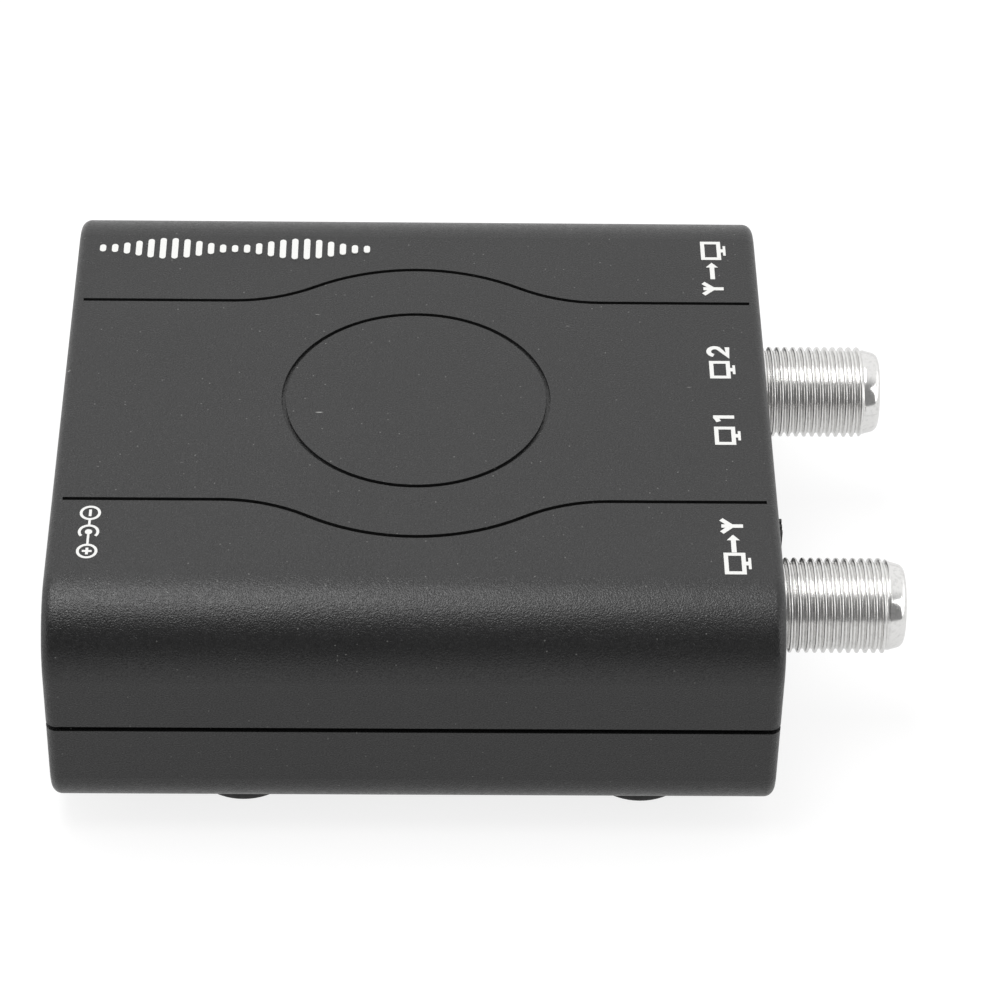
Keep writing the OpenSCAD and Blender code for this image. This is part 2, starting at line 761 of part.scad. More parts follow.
// Flat spring under the plug's barrel
module dc_jack_spring() color("silver") {
    translate([jack_x0 + jack_front_t + slip, jack_y - spring_w / 2,
            jack_z - jack_hole_r - spring_drop - spring_t])
        cube([jack_l - jack_front_t - 2 * slip, spring_w, spring_t]);
}

// Black body behind the three phono sockets, its upper long edges cut off, with two pegs
module av_jack_block() color([0.1, 0.1, 0.1]) {
    w = av_sockets * av_pitch;
    at_av_pegs() translate([0, 0, board_z]) cylinder(h = board_t, r = av_peg_r);
    difference() {
        translate([av_x - w / 2, av_back_y - av_block_d / 2, deck_z]) rotate([90, 0, 90])
            linear_extrude(w) jack_outline(av_block_d, av_block_h, av_chamfer);
        for (i = [-1, 0, 1]) translate([av_x + i * av_pitch, av_back_y - sleeve_root_l, av_z])
            rotate([-90, 0, 0]) cylinder(h = sleeve_root_l + over, r = sleeve_root_r + slip);
    }
}

// Turns what stands on Z so that it points out of the back, from the foot of a sleeve
module av_place(i) {
    translate([av_x + i * av_pitch, av_back_y - sleeve_root_l, av_z]) rotate([-90, 0, 0]) children();
}

// Coloured collar in the back wall
module av_collar(i) {
    l = collar_tip_y - av_back_y;
    av_place(i) translate([0, 0, sleeve_root_l]) difference() {
        cylinder(h = l, r = collar_r);
        translate([0, 0, -over]) cylinder(h = l + 2 * over, r = sleeve_root_r + slip);
    }
}

// Metal sleeve that the plug's outer ring grips
module av_sleeve(i) color("silver") {
    root = av_back_y - sleeve_root_l;
    step = collar_tip_y + slip - root;
    tip = av_tip_y - root;
    av_place(i) difference() {
        union() {
            cylinder(h = step, r = sleeve_root_r);
            translate([0, 0, step]) cylinder(h = tip - step - sleeve_chamfer, r = sleeve_r);
            translate([0, 0, tip - sleeve_chamfer])
                cylinder(h = sleeve_chamfer, r1 = sleeve_r, r2 = sleeve_r - sleeve_chamfer);
        }
        translate([0, 0, -over]) cylinder(h = tip + 2 * over, r = sleeve_bore_r);
    }
}

// Coloured core inside a sleeve, with a hole for the plug's pin
module av_core(i) {
    face = av_tip_y - core_recess - av_back_y + sleeve_root_l;
    av_place(i) difference() {
        cylinder(h = face, r = sleeve_bore_r - slip);
        translate([0, 0, -over]) cylinder(h = face + 2 * over, r = core_hole_r);
        translate([0, 0, -over]) cylinder(h = face - core_lip + over, r = av_contact_r + slip);
    }
}

// Centre contact of a phono socket
module av_contact(i) color("gold") {
    front = av_tip_y - core_recess - core_lip - slip - av_back_y + sleeve_root_l;
    av_place(i) difference() {
        cylinder(h = front, r = av_contact_r);
        translate([0, 0, front - av_contact_depth]) cylinder(h = av_contact_depth + over,
            r = av_contact_bore_r);
    }
}

module video_collar() color("gold") av_collar(1);
module video_sleeve() av_sleeve(1);
module video_core() color("gold") av_core(1);
module video_contact() av_contact(1);
module audio_left_collar() color("white") av_collar(0);
module audio_left_sleeve() av_sleeve(0);
module audio_left_core() color("white") av_core(0);
module audio_left_contact() av_contact(0);
module audio_right_collar() color("firebrick") av_collar(-1);
module audio_right_sleeve() av_sleeve(-1);
module audio_right_core() color("firebrick") av_core(-1);
module audio_right_contact() av_contact(-1);

// Upright capacitor cans with a rolled waist over a square base
module electrolytic_capacitors() color("slategray") {
    for (s = cap_places) translate([s[0], s[1], deck_z]) {
        translate([-cap_r, -cap_r, 0]) cube([2 * cap_r, 2 * cap_r, cap_base_h]);
        translate([0, 0, cap_base_h]) cylinder(h = cap_waist_h, r = cap_waist_r);
        translate([0, 0, cap_base_h + cap_waist_h])
            cylinder(h = cap_h - cap_base_h - cap_waist_h, r = cap_r);
    }
}

// Regulator with its tab and two legs
module voltage_regulator() color([0.15, 0.15, 0.15]) {
    tab_w = regulator_w * regulator_tab_share;
    translate([regulator_x, regulator_y, deck_z]) {
        translate([-regulator_w / 2, -regulator_d / 2, 0]) cube([regulator_w, regulator_d, regulator_h]);
        translate([-tab_w / 2, regulator_d / 2, 0]) cube([tab_w, regulator_tab_d, regulator_tab_t]);
        for (i = [-1, 1]) translate([i * regulator_w * regulator_leg_share - regulator_leg_w / 2,
                -regulator_d / 2 - regulator_leg_l, 0])
            cube([regulator_leg_w, regulator_leg_l, regulator_tab_t]);
    }
}

// Row of diodes, each with a lead at both ends
module rectifier_diodes() color([0.15, 0.15, 0.15]) {
    l = diode_w + 2 * diode_lead_l;
    for (i = [0 : diodes - 1])
        translate([diode_x, jack_y + (i - (diodes - 1) / 2) * diode_step, deck_z]) {
            translate([-diode_w / 2, -diode_d / 2, 0]) cube([diode_w, diode_d, diode_h]);
            translate([-l / 2, -diode_lead_w / 2, 0]) cube([l, diode_lead_w, diode_lead_t]);
        }
}

// Chip with a row of leads along each side and a dimple at its first lead
module modulator_chip() color([0.12, 0.12, 0.12]) {
    d = chip_d + 2 * chip_lead_l;
    translate([chip_x, chip_y, deck_z]) {
        difference() {
            translate([-chip_w / 2, -chip_d / 2, chip_rise]) cube([chip_w, chip_d, chip_h]);
            translate([2 * chip_mark_r - chip_w / 2, 2 * chip_mark_r - chip_d / 2,
                    chip_rise + chip_h - chip_mark_depth])
                cylinder(h = over, r = chip_mark_r);
        }
        for (i = [0 : chip_leads - 1])
            translate([(i - (chip_leads - 1) / 2) * chip_pitch - chip_lead_w / 2, -d / 2, 0])
                cube([chip_lead_w, d, chip_rise + chip_lead_t]);
    }
}

// Places of the two coils, one behind the other beside the can
module at_coils() {
    for (i = [0 : coils - 1]) translate([coil_x, coil_y - i * (coil_w + part_gap), deck_z]) children();
}

// Square coil cans with a hole over the slug and room for the former
module tuning_coils() color("silver") {
    at_coils() difference() {
        translate([-coil_w / 2, -coil_w / 2, 0]) cube([coil_w, coil_w, coil_h]);
        translate([0, 0, -over]) cylinder(h = coil_h + 2 * over, r = coil_hole_r);
        translate([0, 0, -over]) cylinder(h = coil_h - coil_t + over, r = former_r);
    }
}

// Slotted ferrite slugs on their formers
module coil_slugs() color([0.2, 0.2, 0.2]) {
    at_coils() difference() {
        union() {
            cylinder(h = coil_h - coil_t - slug_h / 2, r = former_r - hole_fit);
            cylinder(h = coil_h - coil_t, r = slug_r);
        }
        translate([-slug_r, -slot_w / 2, coil_h - coil_t - slot_depth])
            cube([2 * slug_r, slot_w, slot_depth + over]);
    }
}

// Crystal in its round-ended metal case on a flat foot
module quartz_crystal() color("silver") {
    r = crystal_d / 2;
    run = crystal_w - crystal_d;
    for (f = [[crystal_foot, 0, crystal_foot_t], [0, crystal_foot_t, crystal_h - crystal_foot_t]])
        translate([regulator_x, crystal_y, deck_z + f[1]]) {
            translate([-run / 2, -r - f[0], 0]) cube([run, crystal_d + 2 * f[0], f[2]]);
            for (s = [-1, 1]) translate([s * run / 2, 0, 0]) cylinder(h = f[2], r = r + f[0]);
        }
}

module chip_resistors() color([0.15, 0.15, 0.15]) {
    for (i = [0 : resistors - 1])
        translate([resistor_x - resistor_w / 2 + i * (resistor_w + part_gap),
                resistor_y - resistor_d / 2, deck_z])
            cube([resistor_w, resistor_d, resistor_h]);
}

module ceramic_capacitors() color("tan") {
    for (i = [0 : ceramics - 1])
        translate([ceramic_x - ceramic_w / 2, jack_y + (i - 1) * (ceramic_d + part_gap), deck_z])
            cube([ceramic_w, ceramic_d, ceramic_h]);
}

top_shell();
bottom_shell();
rubber_feet();
case_screws();
main_board();
board_screws();
rf_can_frame();
rf_can_partition();
rf_can_lid();
rf_out_barrel();
rf_out_insulator();
rf_out_contact();
rf_in_barrel();
rf_in_insulator();
rf_in_contact();
channel_switch_frame();
channel_switch_base();
channel_switch_terminals();
channel_switch_knob();
channel_switch_wiper();
dc_jack_housing();
dc_jack_pin();
dc_jack_spring();
av_jack_block();
video_collar();
video_sleeve();
video_core();
video_contact();
audio_left_collar();
audio_left_sleeve();
audio_left_core();
audio_left_contact();
audio_right_collar();
audio_right_sleeve();
audio_right_core();
audio_right_contact();
electrolytic_capacitors();
voltage_regulator();
rectifier_diodes();
modulator_chip();
tuning_coils();
coil_slugs();
quartz_crystal();
chip_resistors();
ceramic_capacitors();
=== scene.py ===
import math
import bmesh
import bpy
from mathutils import Matrix, Vector


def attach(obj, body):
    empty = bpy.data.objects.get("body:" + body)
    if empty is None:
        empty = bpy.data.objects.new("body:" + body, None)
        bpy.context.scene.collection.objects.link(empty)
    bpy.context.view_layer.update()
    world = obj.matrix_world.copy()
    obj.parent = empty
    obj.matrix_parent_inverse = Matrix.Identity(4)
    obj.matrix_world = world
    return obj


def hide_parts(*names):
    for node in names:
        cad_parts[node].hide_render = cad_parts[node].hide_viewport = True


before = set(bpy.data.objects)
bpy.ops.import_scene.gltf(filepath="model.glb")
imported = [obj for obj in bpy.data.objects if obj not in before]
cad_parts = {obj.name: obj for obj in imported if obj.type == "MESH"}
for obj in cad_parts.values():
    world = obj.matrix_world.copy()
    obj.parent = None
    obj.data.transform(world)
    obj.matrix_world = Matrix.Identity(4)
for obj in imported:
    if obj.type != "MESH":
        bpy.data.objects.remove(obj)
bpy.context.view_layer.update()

MM = 0.001

# Places and sizes that repeat the case's own, in metres
CASE_D = 63.6 * MM
TOP_Z = 26.7 * MM
BROW_R = 7 * MM
RF_AXIS_Y = 15.6 * MM
RF_AXIS_Z = 14.6 * MM


# Nodes

def grey(level):
    return (level, level, level)


def feed(tree, socket, value):
    """Gives a socket another node's output, a colour of three numbers, or a plain value."""
    if isinstance(value, bpy.types.NodeSocket):
        tree.links.new(value, socket)
    elif socket.type == "RGBA":
        socket.default_value = (*value, 1)
    else:
        socket.default_value = value


def math_node(tree, operation, *values):
    n = tree.nodes.new("ShaderNodeMath")
    n.operation = operation
    for socket, value in zip(n.inputs, values):
        feed(tree, socket, value)
    return n.outputs[0]


def blended(tree, amount, first, second):
    """A level between two others."""
    n = tree.nodes.new("ShaderNodeMix")
    for place, value in ((0, amount), (2, first), (3, second)):
        feed(tree, n.inputs[place], value)
    return n.outputs[0]


# Materials

NOISE_RANGE = (0.3, 0.7)
DOT_CORE = 0.6
LOT_STEP = 0.01


class Shader:
    """A node material that is built up step by step."""

    def __init__(self, name, colour, rough, metal=0.0, specular=0.5):
        self.mat = bpy.data.materials.new(name)
        self.mat.use_nodes = True
        self.tree = self.mat.node_tree
        self.bsdf = self.tree.nodes["Principled BSDF"]
        self.give("Base Color", colour)
        self.give("Roughness", rough)
        self.give("Metallic", metal)
        self.give("Specular IOR Level", specular)
        self.place = self.tree.nodes.new("ShaderNodeTexCoord").outputs["Object"]

    def give(self, key, value):
        feed(self.tree, self.bsdf.inputs[key], value)

    def node(self, kind, **inputs):
        n = self.tree.nodes.new("ShaderNode" + kind)
        for key, value in inputs.items():
            feed(self.tree, n.inputs[key.replace("_", " ")], value)
        return n

    def stretched(self, scale):
        return self.node("Mapping", Vector=self.place, Scale=scale).outputs["Vector"]

    def noise(self, size, detail=2.0, where=None):
        """Noise with features of about the given size, from 0 to 1."""
        n = self.node("TexNoise", Vector=where or self.place, Scale=1 / size, Detail=detail)
        return n.outputs["Fac"]

    def between(self, value, low, high, out_low=0.0, out_high=1.0):
        n = self.node("MapRange", Value=value, From_Min=low, From_Max=high,
                      To_Min=out_low, To_Max=out_high)
        return n.outputs["Result"]

    def wandering(self, size, detail, low, high):
        """A value that wanders from low to high over patches of the given size."""
        return self.between(self.noise(size, detail), *NOISE_RANGE, low, high)

    def specks(self, spacing, radius, share, where=None):
        """Small dots at random places, of which the given share is kept, from 0 to 1."""
        cells = self.node("TexVoronoi", Vector=where or self.place, Scale=1 / spacing)
        rim = radius / spacing
        dot = self.between(cells.outputs["Distance"], DOT_CORE * rim, rim, 1, 0)
        lots = self.node("SeparateColor", Color=cells.outputs["Color"])
        kept = self.between(lots.outputs["Red"], share, share + LOT_STEP, 1, 0)
        return math_node(self.tree, "MULTIPLY", dot, kept)

    def mixed(self, amount, first, second):
        n = self.tree.nodes.new("ShaderNodeMix")
        n.data_type = "RGBA"
        for place, value in ((0, amount), (6, first), (7, second)):
            feed(self.tree, n.inputs[place], value)
        return n.outputs[2]

    def bump(self, *layers):
        """Layers are pairs of a height signal and the height that it stands for."""
        normal = None
        for height, depth in layers:
            n = self.node("Bump", Height=height, Distance=depth, Strength=1.0)
            if normal:
                self.tree.links.new(normal, n.inputs["Normal"])
            normal = n.outputs["Normal"]
        self.give("Normal", normal)


def scaled(colour, factor):
    return tuple(min(1.0, c * factor) for c in colour)


CASE_DARK = (0.0085, 0.0085, 0.0087)
CASE_ROUGH = (0.27, 0.39)
CASE_SHINE = (0.39, 0.63)
GRAIN, GRAIN_DEPTH = 0.15 * MM, 0.048 * MM
PITS, PITS_DEPTH = 0.08 * MM, 0.014 * MM
DUST_SPACING, DUST_R, DUST_SHARE = 0.9 * MM, 0.09 * MM, 0.35
DUST_COLOUR = (0.12, 0.12, 0.116)
FLUFF_SPACING, FLUFF_R, FLUFF_SHARE = 2.4 * MM, 0.09 * MM, 0.3
FLUFF_STRETCH = (0.2, 1, 0.6)
FLUFF_COLOUR = (0.3, 0.3, 0.29)


def case_plastic():
    """Dark moulded plastic with a fine grain, faint rubbed patches and specks of dust."""
    s = Shader("case_moulding", CASE_DARK, 0.34)
    patches = s.between(s.noise(9 * MM, 3), 0.35, 0.65)
    tone = s.mixed(patches, scaled(CASE_DARK, 0.93), scaled(CASE_DARK, 1.08))
    dust = s.specks(DUST_SPACING, DUST_R, DUST_SHARE)
    fluff = s.specks(FLUFF_SPACING, FLUFF_R, FLUFF_SHARE, s.stretched(FLUFF_STRETCH))
    s.give("Base Color", s.mixed(fluff, s.mixed(dust, tone, DUST_COLOUR), FLUFF_COLOUR))
    s.give("Roughness", s.wandering(0.5 * MM, 3, *CASE_ROUGH))
    grain = s.noise(GRAIN, 1)
    s.give("Specular IOR Level", s.between(grain, *NOISE_RANGE, *CASE_SHINE))
    s.bump((grain, GRAIN_DEPTH), (s.noise(PITS, 1), PITS_DEPTH))
    return s.mat


def foot_rubber():
    """Matt rubber, a little greyer where it has rubbed."""
    dark, paler = (0.016, 0.016, 0.016), 2.1
    s = Shader("foot_rubber_matt", dark, 0.62)
    rubbed = s.between(s.noise(1.8 * MM, 4), 0.4, 0.75)
    s.give("Base Color", s.mixed(rubbed, dark, scaled(dark, paler)))
    s.give("Roughness", s.wandering(0.4 * MM, 3, 0.52, 0.74))
    s.bump((s.noise(0.3 * MM, 3), 0.02 * MM))
    return s.mat


def plated(name, colour, rough, grain=0.35 * MM):
    """Plated metal with a slightly uneven shine and faint tool marks round it."""
    dulled, smoother, rougher = 0.86, 0.75, 1.35
    s = Shader(name, colour, rough, metal=1.0)
    dull = s.between(s.noise(2.2 * MM, 4), 0.45, 0.75)
    s.give("Base Color", s.mixed(dull, colour, scaled(colour, dulled)))
    s.give("Roughness", s.wandering(grain, 4, rough * smoother, rough * rougher))
    marks = s.noise(0.3 * MM, 2, s.stretched((9, 1, 1)))
    s.bump((marks, 0.0012 * MM), (s.noise(grain, 2), 0.002 * MM))
    return s.mat


NICKEL = (0.76, 0.755, 0.745)
THREAD_ROUGH = 0.25
NOSE_ROUGH = 0.13
FINISH_STEP = 0.3 * MM


def socket_plate():
    """Nickel plate, dull on the rolled thread and bright on the turned nose."""
    dulled = 0.88
    s = Shader("socket_thread_nickel", NICKEL, 0.3, metal=1.0)
    along = s.node("SeparateXYZ", Vector=s.place).outputs["X"]
    dull = s.between(s.noise(0.4 * MM, 4), 0.5, 0.7)
    s.give("Base Color", s.mixed(dull, NICKEL, scaled(NICKEL, dulled)))
    s.give("Roughness", s.between(along, THREAD_X1 - FINISH_STEP, THREAD_X1,
                                  THREAD_ROUGH, NOSE_ROUGH))
    s.bump((s.noise(0.2 * MM, 3), 0.0035 * MM), (s.noise(1.1 * MM, 2), 0.004 * MM))
    return s.mat


def moulded(name, colour, rough, grain=0.25 * MM, height=0.006 * MM, change=0.1):
    """Plain moulded plastic with a faint flow pattern and a fine surface grain."""
    smoother, rougher = 0.8, 1.2
    s = Shader(name, colour, rough)
    flow = s.between(s.noise(4 * MM, 3), 0.35, 0.65)
    s.give("Base Color", s.mixed(flow, scaled(colour, 1 - change), scaled(colour, 1 + change)))
    s.give("Roughness", s.wandering(grain * 2, 3, rough * smoother, rough * rougher))
    s.bump((s.noise(grain, 2), height))
    return s.mat


WEAVE_SCALE = 0.32 / MM
WEAVE_LIGHTER = 1.35


def laminate():
    """Green board lacquer over a woven base."""
    green = (0.012, 0.075, 0.03)
    s = Shader("board_lacquer", green, 0.3)
    waves = []
    for direction in ("X", "Y"):
        wave = s.node("TexWave", Vector=s.place, Scale=WEAVE_SCALE)
        wave.bands_direction = direction
        waves.append(wave.outputs["Fac"])
    cloth = math_node(s.tree, "MULTIPLY", *waves)
    s.give("Base Color", s.mixed(cloth, green, scaled(green, WEAVE_LIGHTER)))
    s.give("Roughness", s.wandering(0.8 * MM, 3, 0.24, 0.36))
    s.bump((cloth, 0.006 * MM))
    return s.mat


def mark_ink():
    """Pale printing ink, thin enough to show slight pinholes."""
    pale, thinned = (0.7, 0.7, 0.685), 0.62
    s = Shader("mark_ink", pale, 0.5)
    thin = s.between(s.noise(0.16 * MM, 2), 0.66, 0.78)
    s.give("Base Color", s.mixed(thin, pale, scaled(pale, thinned)))
    s.give("Roughness", s.wandering(0.3 * MM, 2, 0.42, 0.58))
    s.bump((s.noise(0.12 * MM, 2), 0.003 * MM))
    return s.mat


def make_materials():
    """The finish of each slot: its colour, its roughness, then its grain where that differs."""
    return {
        "case_plastic": case_plastic(),
        "foot_rubber": foot_rubber(),
        "screw_steel": plated("screw_zinc", (0.52, 0.52, 0.5), 0.3),
        "board_laminate": laminate(),
        "tin_plate": plated("tin_sheet", (0.62, 0.62, 0.6), 0.32, 0.8 * MM),
        "socket_metal": plated("socket_nickel", NICKEL, 0.2),
        "white_plastic": moulded("white_moulding", (0.76, 0.75, 0.71), 0.4, change=0.03),
        "contact_brass": plated("contact_metal", (0.78, 0.6, 0.32), 0.25),
        "knob_plastic": moulded("knob_moulding", (0.022, 0.022, 0.022), 0.36),
        "base_board": moulded("switch_base", (0.2, 0.11, 0.05), 0.6, 0.4 * MM, 0.02 * MM),
        "black_plastic": moulded("black_moulding", (0.02, 0.02, 0.02), 0.42),
        "yellow_plastic": moulded("yellow_moulding", (0.8, 0.52, 0.02), 0.35, change=0.04),
        "red_plastic": moulded("red_moulding", (0.52, 0.012, 0.014), 0.35, change=0.06),
        "capacitor_can": plated("can_aluminium", (0.72, 0.72, 0.74), 0.28),
        "part_epoxy": moulded("epoxy_body", (0.03, 0.03, 0.032), 0.55, 0.2 * MM, 0.012 * MM),
        "ferrite": moulded("ferrite_body", (0.055, 0.055, 0.06), 0.65, 0.3 * MM, 0.02 * MM),
        "ceramic": moulded("ceramic_body", (0.46, 0.33, 0.19), 0.5, 0.3 * MM, 0.008 * MM),
    }


def dress_cad_nodes(materials):
    """Gives each CAD node the finish of its slot."""
    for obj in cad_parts.values():
        for holder in obj.material_slots:
            holder.material = materials[holder.material.name.split(".")[0]]


# Meshes

def new_piece(name, verts, faces, material, body="case", smooth=False):
    """A mesh that rides on a body and wears the given material."""
    mesh = bpy.data.meshes.new(name)
    mesh.from_pydata([tuple(v) for v in verts], [], faces)
    mesh.validate()
    mesh.polygons.foreach_set("use_smooth", [smooth] * len(mesh.polygons))
    mesh.materials.append(material)
    obj = bpy.data.objects.new(name, mesh)
    bpy.context.scene.collection.objects.link(obj)
    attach(obj, body)
    return obj


def tidy_mesh(obj, gap):
    """Joins points that meet, drops what has no area and turns all faces outwards."""
    bm = bmesh.new()
    bm.from_mesh(obj.data)
    bmesh.ops.remove_doubles(bm, verts=bm.verts, dist=gap)
    bmesh.ops.dissolve_degenerate(bm, edges=bm.edges, dist=gap / 10)
    loose = [v for v in bm.verts if not v.link_faces]
    bmesh.ops.delete(bm, geom=loose, context="VERTS")
    bmesh.ops.recalc_face_normals(bm, faces=bm.faces)
    bm.to_mesh(obj.data)
    bm.free()


def smoothstep(t):
    t = max(0.0, min(1.0, t))
    return t * t * (3 - 2 * t)


# Threaded aerial sockets

AROUND = 96
ROWS_PER_TURN = 12
SPARE_TURNS = 2
THREAD_PITCH = 25.4 / 32 * MM
THREAD_X0 = 33.85 * MM
THREAD_X1 = 44.7 * MM
THREAD_R = 4.5 * MM
THREAD_DEPTH = 0.4 * MM
CREST_SHARE = 0.2
RUN_OUT = 0.45 * MM
NECK_R = 4.2 * MM
FLANGE_R = 5.3 * MM
FLANGE_X0 = 25.7 * MM
FLANGE_T = 1.5 * MM
NOSE_R = 4.2 * MM
NOSE_TAPER = 0.2 * MM
NOSE_EDGE_R = 0.8 * MM
NOSE_EDGE_START = 80
TIP_X = 46.15 * MM
BORE_R = 3.0 * MM
MOUTH_R = 0.1 * MM
EDGE_STEPS = 8
SOCKET_JOIN = 0.002 * MM
SHARP_ANGLE = math.radians(50)

# How far along its axis each socket's thread starts, read from its crests in the photograph
RF_OUT_SHIFT = 0.145 * MM
RF_IN_SHIFT = -0.12 * MM


def thread_height(phase):
    """Share of the thread's depth that stands at a place along one turn."""
    away = abs((phase % 1.0) - 0.5) * 2
    return smoothstep((1 - away - CREST_SHARE) / (1 - 2 * CREST_SHARE))


def thread_point(row, column, shift):
    """Place along the axis, radius and angle, with the thread run out at both of its ends."""
    turns = row / ROWS_PER_TURN - SPARE_TURNS + column / AROUND
    x = max(THREAD_X0, min(THREAD_X1, THREAD_X0 + shift + THREAD_PITCH * turns))
    root = THREAD_R - THREAD_DEPTH
    radius = root + THREAD_DEPTH * thread_height(row / ROWS_PER_TURN)
    start = smoothstep((x - THREAD_X0) / RUN_OUT)
    end = smoothstep((THREAD_X1 - x) / RUN_OUT)
    radius = NECK_R + (radius - NECK_R) * start
    radius = NOSE_R + (radius - NOSE_R) * end
    return x, radius, 2 * math.pi * column / AROUND


def thread_grid(shift):
    """Points and faces of the wound thread, row after row along the axis."""
    turns = (THREAD_X1 - THREAD_X0) / THREAD_PITCH
    rows = math.ceil((turns + 2 * SPARE_TURNS) * ROWS_PER_TURN)
    points = [thread_point(i, j, shift) for i in range(rows) for j in range(AROUND)]
    faces = []
    for i in range(rows - ROWS_PER_TURN - 1):
        for j in range(AROUND):
            a = i * AROUND + j
            b = a + 1 if j < AROUND - 1 else (i + ROWS_PER_TURN) * AROUND
            faces.append((a, b, b + AROUND, a + AROUND))
    return points, faces


def arc(centre_x, centre_r, radius, start, end):
    """Part of a socket's profile, as places along the axis with their radius."""
    steps = [start + (end - start) * i / EDGE_STEPS for i in range(EDGE_STEPS + 1)]
    return [(centre_x + radius * math.cos(math.radians(a)),
             centre_r + radius * math.sin(math.radians(a))) for a in steps]


def lathe_rings(profile):
    """Points and faces of a profile of (x, radius) turned round the axis."""
    points = [(x, r, 2 * math.pi * j / AROUND) for x, r in profile for j in range(AROUND)]
    faces = []
    for i in range(len(profile) - 1):
        for j in range(AROUND):
            a, b = i * AROUND + j, i * AROUND + (j + 1) % AROUND
            faces.append((a, b, b + AROUND, a + AROUND))
    return points, faces


def threaded_socket(name, side, shift, material):
    """One socket's body, its thread wound from a start that is shifted along the axis."""
    rim_r = NOSE_R - NOSE_TAPER - NOSE_EDGE_R
    edge = arc(TIP_X - NOSE_EDGE_R, rim_r, NOSE_EDGE_R, NOSE_EDGE_START, 0)
    mouth = arc(TIP_X - MOUTH_R, BORE_R + MOUTH_R, MOUTH_R, 0, -90)
    inside = [(FLANGE_X0, BORE_R), (FLANGE_X0, FLANGE_R), (FLANGE_X0 + FLANGE_T, FLANGE_R),
              (FLANGE_X0 + FLANGE_T, NECK_R), (THREAD_X0, NECK_R)]
    points, faces = thread_grid(shift)
    more, rings = lathe_rings([(THREAD_X1, NOSE_R)] + edge + mouth + inside)
    faces += [tuple(len(points) + k for k in f) for f in rings]
    points += more
    verts = [(x, side * RF_AXIS_Y + r * math.cos(a), RF_AXIS_Z + r * math.sin(a))
             for x, r, a in points]
    obj = new_piece(name, verts, faces, material, smooth=True)
    tidy_mesh(obj, SOCKET_JOIN)
    obj.data.set_sharp_from_angle(angle=SHARP_ANGLE)
    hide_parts(name.replace("_threaded", ""))


# Printed marks on the top. The sizes of a sign itself are in millimetres.

INK_UP = 0.02 * MM
INK_COAT = 0.003 * MM
INK_DOWN = 0.005 * MM
INK_JOIN = 0.0005 * MM
STROKE_W = 0.46
MITRE_LIMIT = 0.5


def top_height(y):
    """Height of the top at a distance from the middle, round the long edges too."""
    over_edge = abs(y) - (CASE_D / 2 - BROW_R)
    if over_edge <= 0:
        return TOP_Z
    return TOP_Z - BROW_R + math.sqrt(BROW_R ** 2 - over_edge ** 2)


def ribbon(path, width, closed):
    """Pairs of left and right points beside a path."""
    pairs = []
    n = len(path)
    for i, p in enumerate(path):
        before = path[i - 1] if (i or closed) else p
        after = path[(i + 1) % n] if (i < n - 1 or closed) else p
        d1 = Vector((p[0] - before[0], p[1] - before[1]))
        d2 = Vector((after[0] - p[0], after[1] - p[1]))
        d1 = d1.normalized() if d1.length else d2.normalized()
        d2 = d2.normalized() if d2.length else d1
        middle = (d1 + d2).normalized()
        side = Vector((-middle.y, middle.x))
        reach = width / 2 / max(MITRE_LIMIT, side.dot(Vector((-d1.y, d1.x))))
        pairs.append(((p[0] + side.x * reach, p[1] + side.y * reach),
                      (p[0] - side.x * reach, p[1] - side.y * reach)))
    return pairs


def circle(centre, radius, steps=28, start=0, sweep=360):
    """Points round a circle, or along a part of it with both of its ends."""
    count = steps if sweep == 360 else steps + 1
    angles = [math.radians(start + sweep * i / steps) for i in range(count)]
    return [(centre[0] + radius * math.cos(a), centre[1] + radius * math.sin(a))
            for a in angles]


class Marks:
    """Flat signs in ink, drawn along a reading line and laid on the top."""

    def __init__(self, origin, reading, up):
        self.origin, self.reading, self.up = Vector(origin), Vector(reading), Vector(up)
        self.verts, self.faces, self.coats = [], [], 0

    def lay(self, point):
        """A sign's own point as a place on the top."""
        p = self.origin + self.reading * point[0] * MM + self.up * point[1] * MM
        return p.x, p.y

    def add(self, loop_points, faces):
        """Adds a flat shape with its underside and its rim, a little over the ones before."""
        base = len(self.verts)
        n = len(loop_points)
        self.coats += 1
        for lift in (INK_UP + self.coats * INK_COAT, -INK_DOWN - self.coats * INK_COAT):
            for point in loop_points:
                x, y = self.lay(point)
                self.verts.append((x, y, top_height(y) + lift))
        edges = {}
        for f in faces:
            edges.update(dict.fromkeys(zip(f, f[1:] + f[:1])))
            self.faces.append(tuple(base + k for k in f))
            self.faces.append(tuple(base + n + k for k in reversed(f)))
        for a, b in edges:
            if (b, a) not in edges:
                self.faces.append((base + b, base + a, base + n + a, base + n + b))

    def stroke(self, path, width=STROKE_W, closed=False):
        """Adds a line of the given width, open or closed."""
        pairs = ribbon(path, width, closed)
        points = [p for pair in pairs for p in pair]
        count = len(pairs)
        faces = []
        for i in range(count if closed else count - 1):
            j = (i + 1) % count
            faces.append([2 * i, 2 * i + 1, 2 * j + 1, 2 * j])
        self.add(points, faces)

    def filled(self, outline):
        self.add(outline, [list(range(len(outline)))])

    def piece(self, name, material):
        obj = new_piece(name, self.verts, self.faces, material)
        tidy_mesh(obj, INK_JOIN)


def draw_wave(marks, length, bars, low, high, width):
    """A row of round-ended bars whose height swells and shrinks twice, as a carrier does."""
    end_steps = 8
    for i in range(bars):
        t = i / (bars - 1)
        x = (t - 0.5) * (length - width)
        half = (low + (high - low) * math.sin(2 * math.pi * t) ** 2 - width) / 2
        marks.filled(circle((x, half), width / 2, end_steps, 0, 180)
                     + circle((x, -half), width / 2, end_steps, 180, 180))


